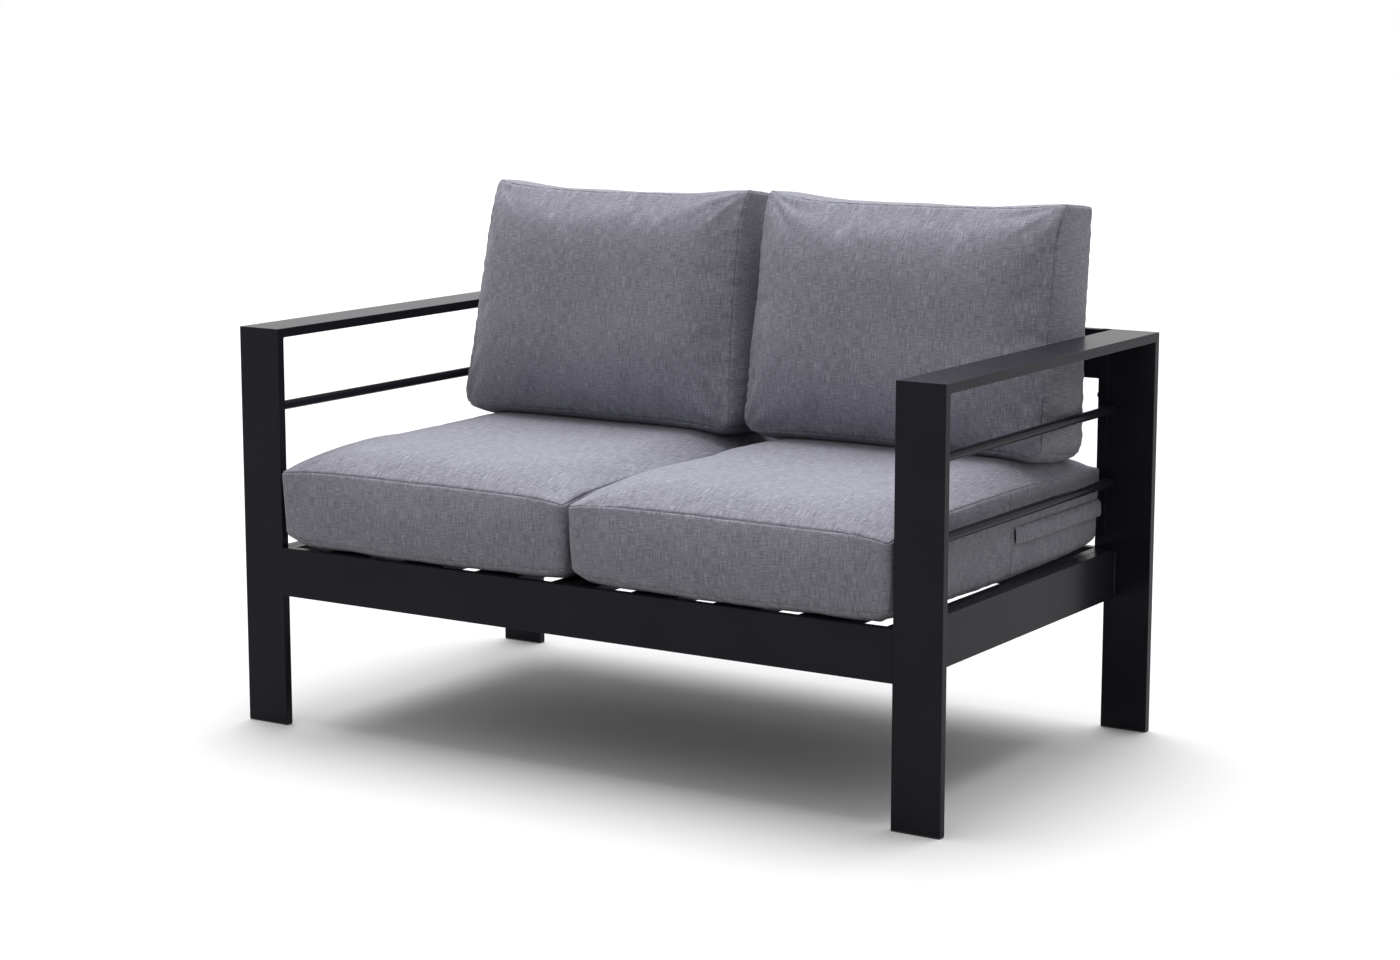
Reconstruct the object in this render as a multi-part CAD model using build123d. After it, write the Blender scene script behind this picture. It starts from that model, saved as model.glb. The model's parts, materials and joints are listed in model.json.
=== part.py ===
from build123d import *
import os
from math import cos, radians, sin

# A two-seat patio loveseat. Two welded arm loops of flat aluminium tube stand left
# and right, a slatted seat and back of the same tube is screwed between them, and
# four loose box cushions lie in it.
# Millimetres. +Z is up, the front faces -Y, left is -X, and the origin is on the
# floor under the middle of the whole seat.

# Frame, overall
frame_width = 1290.0
frame_depth = 730.0
arm_height = 655.0
seat_rail_top = 297.5

# Flat tube of the legs, armrests, cross rails and slats
bar_width = 80.0
bar_thickness = 15.0
bar_wall = 1.5
bar_corner = 1.2
slat_count = 7

# Tube of the side rails, side bars and back posts
side_thickness = 18.0

# Round rods under each armrest
rod_diameter = 15.0
rod_wall = 1.2
back_stops = ("back_top_rail", "back_slat_5", "back_slat_6", "back_slat_7")
rod_names = ("lower", "upper")

# Weld in the inner corner of leg and armrest
weld_radius = 4.0
weld_inset = 1.0

# Plastic foot plug in each leg
foot_flange = 2.5
foot_flange_corner = 2.0
foot_depth = 24.0
foot_wall = 1.6
foot_clearance = 0.25
foot_rib = 0.15
foot_rib_height = 1.5
foot_rib_pitch = 6.0
foot_rib_count = 3

# Button head screw and the rivet nut that it goes into
screw_diameter = 6.0
screw_reach = 26.0
screw_clearance = 0.3
head_diameter = 10.5
head_height = 3.3
head_round = 2.2
socket_width = 4.0
socket_depth = 2.0
nut_diameter = 8.8
nut_length = 9.5
nut_flange_diameter = 10.8
nut_flange = 0.8
nut_clearance = 0.1
thread_clearance = 0.05
post_screw_inset = 27.0
side_screw_inset = 90.0
side_screw_count = 3

# Loose cushions: what both kinds share
rest_clearance = 0.3
settling_rounds = 4
cushion_corner = 24.0
corner_growth_share = 0.18
boxing_bulge = 3.0
crown_rise_shares = (0.0, 0.46, 0.80, 0.96, 1.0)
crown_inset_shares = (0.0, 0.12, 0.37, 0.70, 1.0)
cover_cloth = 1.5
core_clearance = 0.8
side_draw = 9.0

# Seat cushion
seat_overhang = 8.0
seat_rear_gap = 13.0
seat_boxing = 119.0
seat_crown = 38.0
seat_crown_inset_share = 0.33
seat_belly = 13.0
seat_belly_inset = 46.0
seat_front_draw = 7.0

# Back cushion
back_height = 395.0
back_thickness = 154.0
back_rear_lean = 4.5
back_front_lean = 9.8
back_front_crown = 46.0
back_rear_crown = 60.0
back_crown_inset_share = 0.33
back_top_draw = 14.0
back_bottom_draw = 8.0

# Zip and the flap that hides it
zip_width = 24.0
zip_cloth = 0.6
zip_coil_width = 5.0
zip_coil_proud = 0.25
flap_cloth = 1.0
flap_width = 30.0
flap_lap = 5.0
zip_gap = 0.3
flap_clearance = 0.35
seat_zip_side = 300.0
seat_zip_bare = 28.0
back_zip_length = 390.0
back_zip_slack = 0.15
slider_length = 9.0
slider_width = 7.0
slider_height = 2.4
pull_length = 24.0
pull_width = 6.0
pull_thickness = 1.2

# One overrun for all cuts
overrun = 10.0

# Places that follow from the sizes above
front_y = -(frame_depth - seat_overhang) / 2
rear_y = front_y + frame_depth
leg_inner_x = frame_width / 2 - bar_width
side_outer_x = leg_inner_x + side_thickness
post_inner_x = leg_inner_x - side_thickness
rail_front_y = front_y + bar_thickness
rail_rear_y = rear_y - bar_thickness
rail_run = rail_rear_y - rail_front_y
arm_underside = arm_height - bar_thickness
back_rail_bottom = arm_height - bar_width
bay_centre_x = leg_inner_x / 2
zip_stack = zip_cloth + zip_coil_proud + zip_gap + flap_cloth
cushion_width = leg_inner_x - 2 * (zip_stack + flap_clearance)
seat_front_y = front_y - seat_overhang
seat_depth = rail_rear_y - seat_rear_gap - seat_front_y
seat_draws = (seat_front_draw, seat_front_draw, side_draw)
back_draws = (back_bottom_draw, back_top_draw, side_draw)
slat_gap = (2 * post_inner_x - slat_count * bar_width) / (slat_count + 1)
slat_pitch = bar_width + slat_gap


def flat_tube(width, thickness, length):
    """Hollow flat tube standing on the origin, its length along +Z."""
    outer = RectangleRounded(width, thickness, bar_corner)
    inner = Rectangle(width - 2 * bar_wall, thickness - 2 * bar_wall)
    return extrude(outer - inner, length)


def tube_along_x(height, depth, length):
    """Flat tube centred on the origin with its length along X."""
    return Rot(0, 90, 0) * Pos(0, 0, -length / 2) * flat_tube(height, depth, length)


def tube_along_y(width, height, length):
    """Flat tube centred on the origin with its length along Y."""
    return Rot(-90, 0, 0) * Pos(0, 0, -length / 2) * flat_tube(width, height, length)


def both_sides(name, right_part, pieces):
    """File a right-hand piece and its mirror image on the left."""
    pieces[name + "_right"] = right_part
    pieces[name + "_left"] = mirror(right_part, about=Plane.YZ)


def mitre_plane(y, toward):
    """Plane of the 45 degree mitre at an outer top corner of the arm loop."""
    return Plane(origin=(0, y, arm_height), z_dir=(0, toward, 1))


def leg(y, corner_y, toward):
    """Right leg with its top mitred, seen at depth y."""
    x = frame_width / 2 - bar_width / 2
    tube = Pos(x, y, foot_flange) * flat_tube(bar_width, bar_thickness, arm_height - foot_flange)
    return split(tube, bisect_by=mitre_plane(corner_y, toward), keep=Keep.BOTTOM)


def armrest():
    """Right armrest, mitred at both ends."""
    x = frame_width / 2 - bar_width / 2
    place = Pos(x, (front_y + rear_y) / 2, arm_height - bar_thickness / 2)
    tube = place * tube_along_y(bar_width, bar_thickness, frame_depth)
    tube = split(tube, bisect_by=mitre_plane(front_y, 1), keep=Keep.TOP)
    return split(tube, bisect_by=mitre_plane(rear_y, -1), keep=Keep.TOP)


def corner_weld(y, toward):
    """Hollow-faced weld along the inner corner of leg and armrest."""
    size = weld_radius
    length = bar_width - 2 * weld_inset
    x = frame_width / 2 - bar_width / 2
    block = Box(length, size, size)
    groove = Pos(0, toward * size / 2, -size / 2) * Rot(0, 90, 0) * Cylinder(size, length + overrun)
    return Pos(x, y + toward * size / 2, arm_underside - size / 2) * (block - groove)


def corner_welds():
    """The two corner welds of the right arm loop."""
    return Compound(children=[corner_weld(rail_front_y, 1), corner_weld(rail_rear_y, -1)])


def foot_plug(y):
    """Ribbed plastic plug that closes the right leg at depth y and is its foot."""
    x = frame_width / 2 - bar_width / 2
    width = bar_width - 2 * (bar_wall + foot_clearance)
    thickness = bar_thickness - 2 * (bar_wall + foot_clearance)
    flange = extrude(RectangleRounded(bar_width, bar_thickness, foot_flange_corner), foot_flange)
    shank = Rectangle(width, thickness)
    bore = Rectangle(width - 2 * foot_wall, thickness - 2 * foot_wall)
    plug = flange + Pos(0, 0, foot_flange) * extrude(shank - bore, foot_depth)
    for index in range(foot_rib_count):
        height = foot_flange + foot_rib_pitch * (index + 0.5)
        rib = Rectangle(width + 2 * foot_rib, thickness + 2 * foot_rib) - bore
        plug += Pos(0, 0, height) * extrude(rib, foot_rib_height)
    return Pos(x, y, 0) * plug


def arm_rod(index):
    """Round rod of the right arm, the lowest first, evenly spaced under the armrest."""
    count = len(rod_names)
    gap = (arm_underside - seat_rail_top - count * rod_diameter) / (count + 1)
    height = seat_rail_top + gap + rod_diameter / 2 + index * (gap + rod_diameter)
    radius = rod_diameter / 2
    rod = Cylinder(radius, rail_run) - Cylinder(radius - rod_wall, rail_run)
    middle = Pos(side_outer_x - radius, (rail_front_y + rail_rear_y) / 2, height)
    return middle * Rot(90, 0, 0) * rod


def hole_along_x(x, y, z, diameter, length):
    """Cutter for a hole that runs along X, centred on its place."""
    return Pos(x, y, z) * Rot(0, 90, 0) * Cylinder(diameter / 2, length)


def side_screw_places():
    """Depth and height of the screws that join a side bar to its side rail."""
    first = rail_front_y + side_screw_inset
    step = (rail_run - 2 * side_screw_inset) / (side_screw_count - 1)
    height = seat_rail_top - bar_width / 2
    return [(first + index * step, height) for index in range(side_screw_count)]


def post_screw_places():
    """Depth and height of the screws that join a back post to its rear leg."""
    depth = rear_y - bar_thickness / 2
    return [(depth, seat_rail_top + post_screw_inset), (depth, back_rail_bottom - post_screw_inset)]


def nut_seats(tube, places):
    """Cut the holes for the rivet nuts in the inner wall of a right-hand tube."""
    for y, z in places:
        tube -= hole_along_x(leg_inner_x, y, z, nut_diameter + 2 * nut_clearance, 4 * bar_wall)
    return tube


def screw_ways(tube, places):
    """Cut a side bar or post for its screws, and for the nut flanges on its far wall."""
    for y, z in places:
        shank_hole = screw_diameter + 2 * screw_clearance
        flange_hole = nut_flange_diameter + 2 * screw_clearance
        tube -= hole_along_x(post_inner_x, y, z, shank_hole, 4 * bar_wall)
        tube -= hole_along_x(leg_inner_x, y, z, flange_hole, 4 * bar_wall)
    return tube


def side_rail():
    """Right seat rail of the arm loop, between its front and rear legs."""
    x = leg_inner_x + side_thickness / 2
    place = Pos(x, (rail_front_y + rail_rear_y) / 2, seat_rail_top - bar_width / 2)
    return nut_seats(place * tube_along_y(side_thickness, bar_width, rail_run), side_screw_places())


def side_bar():
    """Right side bar of the slatted seat, screwed against the side rail."""
    x = post_inner_x + side_thickness / 2
    place = Pos(x, (rail_front_y + rail_rear_y) / 2, seat_rail_top - bar_width / 2)
    return screw_ways(place * tube_along_y(side_thickness, bar_width, rail_run), side_screw_places())


def back_post():
    """Right end post of the back, standing on the rear rail beside the rear leg."""
    x = post_inner_x + side_thickness / 2
    height = arm_height - seat_rail_top
    tube = flat_tube(side_thickness, bar_thickness, height)
    return screw_ways(Pos(x, rear_y - bar_thickness / 2, seat_rail_top) * tube, post_screw_places())


def cross_rail(y, top, length):
    """Rail across the seat, 80 high, with its top at the given height."""
    return Pos(0, y, top - bar_width / 2) * tube_along_x(bar_width, bar_thickness, length)


def slat_x(index):
    """Middle of one slat, counted from the left."""
    return (index - (slat_count - 1) / 2) * slat_pitch


def seat_slat(index):
    """Seat slat from the front rail to the rear rail, flush with their tops."""
    middle = Pos(slat_x(index), (rail_front_y + rail_rear_y) / 2, seat_rail_top - bar_thickness / 2)
    return middle * tube_along_y(bar_width, bar_thickness, rail_run)


def back_slat(index):
    """Upright back slat from the rear seat rail to the top rail."""
    place = Pos(slat_x(index), rear_y - bar_thickness / 2, seat_rail_top)
    return place * flat_tube(bar_width, bar_thickness, back_rail_bottom - seat_rail_top)


def screw(y, z):
    """Button head screw on the right side, driven outwards along X."""
    head = Cylinder(head_diameter / 2, head_height)
    head = fillet(head.edges().sort_by(Axis.Z)[0], head_round)
    socket = extrude(RegularPolygon(socket_width / 2, 6, major_radius=False), socket_depth)
    head -= Pos(0, 0, -head_height / 2) * socket
    shank = Pos(0, 0, (head_height + screw_reach) / 2) * Cylinder(screw_diameter / 2, screw_reach)
    return Pos(post_inner_x - head_height / 2, y, z) * Rot(0, 90, 0) * (head + shank)


def rivet_nut(y, z):
    """Flanged rivet nut set in the inner wall of the leg or side rail."""
    flange = Cylinder(nut_flange_diameter / 2, nut_flange)
    barrel = Pos(0, 0, (nut_flange + nut_length) / 2) * Cylinder(nut_diameter / 2, nut_length)
    bore = Cylinder(screw_diameter / 2 + thread_clearance, 4 * nut_length)
    place = Pos(leg_inner_x - nut_flange / 2, y, z)
    return place * Rot(0, 90, 0) * (flange + barrel - bore)


def fastener_group(make, places):
    """Identical fasteners of both sides as separate solids."""
    right = [make(y, z) for y, z in places]
    left = [mirror(piece, about=Plane.YZ) for piece in right]
    return Compound(children=right + left)


def drawn_side(start, end, inward, draw):
    """One sewn side from start to end, drawn in at its middle."""
    if draw == 0:
        return Line(start, end)
    middle = ((start[0] + end[0]) / 2 + inward[0] * draw, (start[1] + end[1]) / 2 + inward[1] * draw)
    return ThreePointArc(start, middle, end)


def panel(plane, length, draws, inset):
    """Panel of a cushion on a plane: four drawn-in sides between round corners."""
    a = cushion_width / 2 - inset
    b = length / 2 - inset
    r = cushion_corner + corner_growth_share * inset
    s = r * (1 - cos(radians(45)))
    near, far, flank = draws
    edges = [
        drawn_side((-a + r, -b), (a - r, -b), (0, 1), near),
        ThreePointArc((a - r, -b), (a - s, -b + s), (a, -b + r)),
        drawn_side((a, -b + r), (a, b - r), (-1, 0), flank),
        ThreePointArc((a, b - r), (a - s, b - s), (a - r, b)),
        drawn_side((a - r, b), (-a + r, b), (0, -1), far),
        ThreePointArc((-a + r, b), (-a + s, b - s), (-a, b - r)),
        drawn_side((-a, b - r), (-a, -b + r), (1, 0), flank),
        ThreePointArc((-a, -b + r), (-a + s, -b + s), (-a + r, -b)),
    ]
    return plane * make_face(edges)


def crown(seam_plane, away, length, draws, rise_and_spread, skin):
    """Crowned side of a cushion, from its seam out to a flat middle."""
    rise, spread = rise_and_spread
    stations = []
    for rise_share, inset_share in zip(crown_rise_shares, crown_inset_shares):
        plane = seam_plane.offset(away * (rise * rise_share - skin))
        inset = skin + boxing_bulge + spread * inset_share
        stations.append(panel(plane, length, draws, inset))
    return loft(stations)


def between(first, second):
    """Plane half way between two seam planes."""
    middle = (first.origin + second.origin) / 2
    return Plane(origin=middle, x_dir=(1, 0, 0), z_dir=first.z_dir + second.z_dir)


def cushion_body(low, high, length, draws, low_crown, high_crown, skin):
    """Closed body between two seam planes: a bulging boxing with a crown on each side."""
    seam_inset = skin + boxing_bulge
    boxing = loft([
        panel(low.offset(skin), length, draws, seam_inset),
        panel(between(low, high), length, draws, skin),
        panel(high.offset(-skin), length, draws, seam_inset),
    ])
    under = crown(low, -1, length, draws, low_crown, skin)
    over = crown(high, 1, length, draws, high_crown, skin)
    return boxing + under + over


def seat_low_plane():
    """Lower seam plane of the right seat cushion."""
    middle_y = seat_front_y + seat_depth / 2
    height = seat_rail_top + rest_clearance + seat_belly
    return Plane(origin=(bay_centre_x, middle_y, height), x_dir=(1, 0, 0), z_dir=(0, 0, 1))


def seat_body(skin):
    """Body of the right seat cushion, a skin's thickness inside its cover."""
    low = seat_low_plane()
    belly = (seat_belly, seat_belly_inset)
    top = (seat_crown, seat_crown_inset_share * cushion_width)
    return cushion_body(low, low.offset(seat_boxing), seat_depth, seat_draws, belly, top, skin)


def leaning_plane(foot_y, lean):
    """Seam plane of the back cushion, centred on a panel that stands on the seat rail's level."""
    along = (sin(radians(lean)), cos(radians(lean)))
    y = foot_y + along[0] * back_height / 2
    z = seat_rail_top + along[1] * back_height / 2
    return Plane(origin=(bay_centre_x, y, z), x_dir=(1, 0, 0), z_dir=(0, -along[1], along[0]))


def back_seam_planes():
    """Rear and front seam planes of the right back cushion, before it is set in its place."""
    front_foot_y = rail_rear_y - back_thickness
    return leaning_plane(rail_rear_y, back_rear_lean), leaning_plane(front_foot_y, back_front_lean)


def back_body(skin):
    """Body of the right back cushion, a skin's thickness inside its cover."""
    rear, front = back_seam_planes()
    crown_inset = back_crown_inset_share * back_height
    rear_crown = (back_rear_crown, crown_inset)
    front_crown = (back_front_crown, crown_inset)
    return cushion_body(rear, front, back_height, back_draws, rear_crown, front_crown, skin)


def band(middle, length, draws, stands, low, high):
    """Band of cloth round a boxing, between two distances from it, from low to high
    of its middle."""
    stand_in, stand_out = stands
    floor = middle.offset(low)
    outside = extrude(panel(floor, length, draws, -stand_out), high - low)
    return outside - extrude(panel(floor, length, draws, -stand_in), high - low)


def zip_parts(middle, length, draws):
    """Tape and coil of a zip, and its flap with the sewn edge, as full rings."""
    coil_stand = zip_cloth + zip_coil_proud
    tape = band(middle, length, draws, (0, zip_cloth), -zip_width / 2, zip_width / 2)
    coil = band(middle, length, draws, (0, coil_stand), -zip_coil_width / 2, zip_coil_width / 2)
    top = zip_width / 2 + zip_gap
    flap = band(middle, length, draws, (coil_stand + zip_gap, zip_stack), -flap_width / 2, top)
    lap = band(middle, length, draws, (0, zip_stack), top, top + flap_lap)
    return tape + coil, flap + lap


def zip_slider():
    """Slider with its pull hanging down, its back on the tape, seen along X."""
    slider = Box(slider_height, slider_length, slider_width, align=(Align.MAX, Align.MIN, Align.CENTER))
    slider = fillet(slider.edges().filter_by(Axis.X), slider_height / 2)
    pull = Box(pull_thickness, pull_width, pull_length, align=(Align.MAX, Align.MIN, Align.MAX))
    pull = fillet(pull.edges().filter_by(Axis.X), pull_width / 3)
    return slider + Pos(-slider_height / 2, (slider_length - pull_width) / 2, 0) * pull


def seat_zip_and_flap():
    """Zip round the rear of the right seat cushion, and the flap over it."""
    middle = seat_low_plane().offset(seat_boxing / 2)
    zip_ring, flap_ring = zip_parts(middle, seat_depth, seat_draws)
    rear_y = seat_front_y + seat_depth
    zip_start = rear_y - seat_zip_side
    reach = (2 * cushion_width, seat_depth, seat_boxing)
    part = Box(*reach, align=(Align.CENTER, Align.MIN, Align.CENTER))
    zipped = zip_ring & (Pos(bay_centre_x, zip_start, middle.origin.Z) * part)
    flap = flap_ring & (Pos(bay_centre_x, zip_start + seat_zip_bare, middle.origin.Z) * part)
    tape_x = bay_centre_x - cushion_width / 2 + side_draw - zip_cloth
    slider = Pos(tape_x, zip_start + slider_length / 2, middle.origin.Z) * zip_slider()
    return zipped + slider, flap


def back_zip_and_flap():
    """Zip under the drawn-in bottom of the right back cushion, and the flap over it."""
    middle = between(*back_seam_planes())
    bottom = middle.origin - middle.y_dir * (back_height / 2)
    half_up = bottom + Vector(0, 0, back_height / 2 - back_zip_slack)
    upright = Plane(origin=half_up, x_dir=(1, 0, 0), z_dir=(0, -1, 0))
    zip_ring, flap_ring = zip_parts(upright, back_height, back_draws)
    part = Box(back_zip_length, back_thickness, back_height, align=(Align.CENTER, Align.CENTER, Align.MAX))
    place = Pos(bay_centre_x, half_up.Y, half_up.Z)
    return zip_ring & (place * part), flap_ring & (place * part)


def resting_place(cushion, floor):
    """Move that sets a cushion down at rest on a floor."""
    return Pos(0, 0, floor + rest_clearance - cushion.bounding_box().min.Z)


def free_run(piece, step, stops):
    """How far a piece can go along a unit step until its clearance to the stops is left."""
    run = 0.0
    for _ in range(settling_rounds):
        moved = Pos(*(step * run)) * piece
        run += min(moved.distance_to(stop) for stop in stops) - rest_clearance
    return run


def leaning_place(cushion, floor, stops):
    """Move that sets a back cushion down on a floor and leans it back against the stops."""
    back = Pos(0, rail_rear_y - rest_clearance - cushion.bounding_box().max.Y, 0)
    place = resting_place(cushion, floor) * back
    rearward = Vector(0, 1, 0)
    return Pos(*(rearward * free_run(place * cushion, rearward, stops))) * place


def arm_loops(pieces):
    """Legs, armrests, rods, side rails, welds and feet of both arms."""
    front_middle = front_y + bar_thickness / 2
    rear_middle = rear_y - bar_thickness / 2
    both_sides("front_leg", leg(front_middle, front_y, 1), pieces)
    rear_leg = nut_seats(leg(rear_middle, rear_y, -1), post_screw_places())
    both_sides("rear_leg", rear_leg, pieces)
    both_sides("armrest", armrest(), pieces)
    for index, name in enumerate(rod_names):
        both_sides(name + "_arm_rod", arm_rod(index), pieces)
    both_sides("side_rail", side_rail(), pieces)
    both_sides("corner_welds", corner_welds(), pieces)
    both_sides("front_foot_plug", foot_plug(front_middle), pieces)
    both_sides("rear_foot_plug", foot_plug(rear_middle), pieces)


def seat_and_back(pieces):
    """Rails, bars, slats and posts of the seat and back, with their fasteners."""
    rear_middle = rear_y - bar_thickness / 2
    pieces["front_rail"] = cross_rail(front_y + bar_thickness / 2, seat_rail_top, 2 * leg_inner_x)
    pieces["rear_rail"] = cross_rail(rear_middle, seat_rail_top, 2 * leg_inner_x)
    pieces["back_top_rail"] = cross_rail(rear_middle, arm_height, 2 * post_inner_x)
    both_sides("side_bar", side_bar(), pieces)
    both_sides("back_post", back_post(), pieces)
    for index in range(slat_count):
        pieces[f"seat_slat_{index + 1}"] = seat_slat(index)
        pieces[f"back_slat_{index + 1}"] = back_slat(index)
    places = side_screw_places() + post_screw_places()
    pieces["side_screws"] = fastener_group(screw, side_screw_places())
    pieces["post_screws"] = fastener_group(screw, post_screw_places())
    pieces["rivet_nuts"] = fastener_group(rivet_nut, places)


def cushion(name, core, body, zip_and_flap, place, pieces):
    """Cover, core, zip and zip flap of one kind of cushion."""
    both_sides(name + "_cover", place * (body(0) - body(cover_cloth)), pieces)
    both_sides(name + core, place * body(cover_cloth + core_clearance), pieces)
    zipped, flap = zip_and_flap()
    both_sides(name + "_zip", place * zipped, pieces)
    both_sides(name + "_zip_flap", place * flap, pieces)


def cushions(pieces):
    """Seat cushions on the slats, and back cushions on them."""
    place = resting_place(seat_body(0), seat_rail_top)
    cushion("seat", "_foam", seat_body, seat_zip_and_flap, place, pieces)
    seat_top = pieces["seat_cover_right"].bounding_box().max.Z
    stops = [piece for name, piece in pieces.items() if name in back_stops]
    place = leaning_place(back_body(0), seat_top, stops)
    cushion("back", "_filling", back_body, back_zip_and_flap, place, pieces)


def main():
    pieces = {}
    arm_loops(pieces)
    seat_and_back(pieces)
    cushions(pieces)
    os.makedirs("parts", exist_ok=True)
    for name, piece in pieces.items():
        export_step(piece, f"parts/{name}.step")
    print(len(pieces), "sub-parts; gap between slats", round(slat_gap, 2), "mm")


main()
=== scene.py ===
import json
import math

import bmesh
import bpy
from mathutils import Matrix, Vector, noise
from mathutils.bvhtree import BVHTree


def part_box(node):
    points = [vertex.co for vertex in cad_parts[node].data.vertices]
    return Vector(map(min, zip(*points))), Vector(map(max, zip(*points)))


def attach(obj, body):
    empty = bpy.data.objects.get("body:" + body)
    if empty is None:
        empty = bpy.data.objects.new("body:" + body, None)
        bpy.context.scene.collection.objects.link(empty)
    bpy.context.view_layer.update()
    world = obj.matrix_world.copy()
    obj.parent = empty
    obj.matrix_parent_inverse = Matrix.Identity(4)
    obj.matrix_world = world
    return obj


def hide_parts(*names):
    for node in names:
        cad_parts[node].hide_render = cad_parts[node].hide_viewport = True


# A two-seat patio loveseat: a charcoal aluminium frame and four loose box cushions.
# Metres. +Z is up, the front faces -Y, and left is -X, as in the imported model.

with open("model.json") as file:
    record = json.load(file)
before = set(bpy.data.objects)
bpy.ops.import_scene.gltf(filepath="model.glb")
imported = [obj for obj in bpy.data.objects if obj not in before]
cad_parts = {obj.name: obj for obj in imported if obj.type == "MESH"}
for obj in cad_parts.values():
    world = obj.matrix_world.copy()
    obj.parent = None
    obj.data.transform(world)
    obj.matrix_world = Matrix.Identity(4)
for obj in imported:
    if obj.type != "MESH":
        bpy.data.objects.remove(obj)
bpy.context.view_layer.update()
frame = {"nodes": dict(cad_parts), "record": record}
nodes = frame["nodes"]

MM = 0.001
X, Y, Z = range(3)
SIDES = (("left", -1), ("right", 1))

# The photograph's camera, fitted to the frame's corners in the photograph
PHOTO_WIDTH_PX = 1400
CAMERA_PLACE = Vector((2.5112, -3.9308, 1.2046))
CAMERA_TURN = math.radians(32.465)
CAMERA_DIP = math.radians(9.675)
CAMERA_ROLL = math.radians(0.028)
FOCAL_PX = 2917.6
SENSOR_MM = 36.0

# A wide sun overhead, and a surround that is brightest above the left rear: its strength
# runs from the first value of AMBIENT to the second between the two AMBIENT_SPAN cosines
SUN_SIDE = Vector((-0.14, 0.27, 1.0))
SUN_SPREAD = math.radians(56)
SUN_STRENGTH = 3.15
SUN_COLOUR = (0.985, 0.98, 1.0)
SUN_DISTANCE = 3.0
BRIGHT_SIDE = Vector((-0.4, 0.35, 0.85))
AMBIENT = (0.05, 0.95)
AMBIENT_SPAN = (-0.5, 0.9)

# The floor's colour as it is seen, and as it throws light back onto the seat
FLOOR_SEEN = "#dddddd"
FLOOR_BOUNCE = "#9b9995"
FLOOR_REACH = 30.0

# Weave of the cushions' cloth, and the zip tape's ribs
THREAD_PITCH = 1.6 * MM
THREAD_WANDER = 0.6
SLUB_WIDTH = 1.25 * MM
WARP_SLUB = 23 * MM
WEFT_SLUB = 17 * MM
DRIFT_LENGTH = 120 * MM
DRIFT_WIDTH = 50 * MM
ZIP_RIB_PITCH = 2.4 * MM
ZIP_RIB_WANDER = 0.3


# Materials

def linear(hex_colour):
    """Linear colour of an sRGB hex value."""
    values = []
    for start in (1, 3, 5):
        c = int(hex_colour[start:start + 2], 16) / 255
        values.append(c / 12.92 if c <= 0.04045 else ((c + 0.055) / 1.055) ** 2.4)
    return (*values, 1.0)


def node(tree, kind, values=None, links=None, **settings):
    """One shader node with its settings, its socket values and its incoming links."""
    made = tree.nodes.new("ShaderNode" + kind)
    for name, value in settings.items():
        setattr(made, name, value)
    for socket, value in (values or {}).items():
        made.inputs[socket].default_value = value
    for socket, source in (links or {}).items():
        tree.links.new(source, made.inputs[socket])
    return made


def material(name):
    """New node material with an empty tree, and that tree."""
    made = bpy.data.materials.new(name)
    made.use_nodes = True
    tree = made.node_tree
    tree.nodes.clear()
    return made, tree


def surface(tree, shader):
    """Send a shader to the material's output."""
    node(tree, "OutputMaterial", links={"Surface": shader.outputs[0]})


def ramp(tree, factor, stops):
    """Colour ramp on a factor: stops are pairs of place and sRGB hex colour."""
    made = node(tree, "ValToRGB", links={"Fac": factor})
    band = made.color_ramp
    for element, (place, colour) in zip(band.elements, (stops[0], stops[-1])):
        element.position = place
        element.color = linear(colour)
    for place, colour in stops[1:-1]:
        band.elements.new(place).color = linear(colour)
    return made.outputs["Color"]


def grain(tree, scale, detail):
    """Plain noise in the object's own space."""
    place = node(tree, "TexCoord").outputs["Object"]
    return node(
        tree, "TexNoise", {"Scale": scale, "Detail": detail}, {"Vector": place},
    ).outputs["Fac"]


def spread(tree, factor, low, high):
    """Factor from 0 to 1 spread from low to high."""
    return node(
        tree, "MapRange", {"To Min": low, "To Max": high}, {"Value": factor},
    ).outputs["Result"]


def bump(tree, height, strength, distance):
    """Surface direction bent by a height."""
    return node(
        tree, "Bump", {"Strength": strength, "Distance": distance}, {"Height": height},
    ).outputs["Normal"]


def powder_coat():
    """Charcoal polyester powder coat, sprayed and baked: dark, with a fine orange peel
    under a soft sheen."""
    made, tree = material("charcoal_powder_coat")
    peel = grain(tree, 900.0, 2.0)
    drift = grain(tree, 9.0, 3.0)
    shader = node(
        tree, "BsdfPrincipled", {"Specular IOR Level": 0.07},
        {
            "Base Color": ramp(tree, drift, [(0.35, "#211f26"), (0.65, "#25232b")]),
            "Roughness": spread(tree, drift, 0.24, 0.3),
            "Normal": bump(tree, peel, 0.08, 0.05 * MM),
        },
    )
    surface(tree, shader)
    return made


def black_nylon():
    """Moulded black nylon of the foot plugs: dull, with a fine moulded grain."""
    made, tree = material("black_moulded_nylon")
    mould = grain(tree, 1400.0, 1.0)
    shader = node(
        tree, "BsdfPrincipled", {"Roughness": 0.6},
        {
            "Base Color": ramp(tree, mould, [(0.3, "#121213"), (0.7, "#19191a")]),
            "Normal": bump(tree, mould, 0.2, 0.05 * MM),
        },
    )
    surface(tree, shader)
    return made


def black_steel():
    """Blackened stainless steel of the screws: dark metal, turned and slightly brushed."""
    made, tree = material("blackened_stainless_steel")
    scratch = grain(tree, 2500.0, 2.0)
    shader = node(
        tree, "BsdfPrincipled", {"Metallic": 0.9},
        {
            "Base Color": ramp(tree, scratch, [(0.3, "#2c2c2e"), (0.7, "#3a3a3d")]),
            "Roughness": spread(tree, scratch, 0.3, 0.45),
        },
    )
    surface(tree, shader)
    return made


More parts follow.
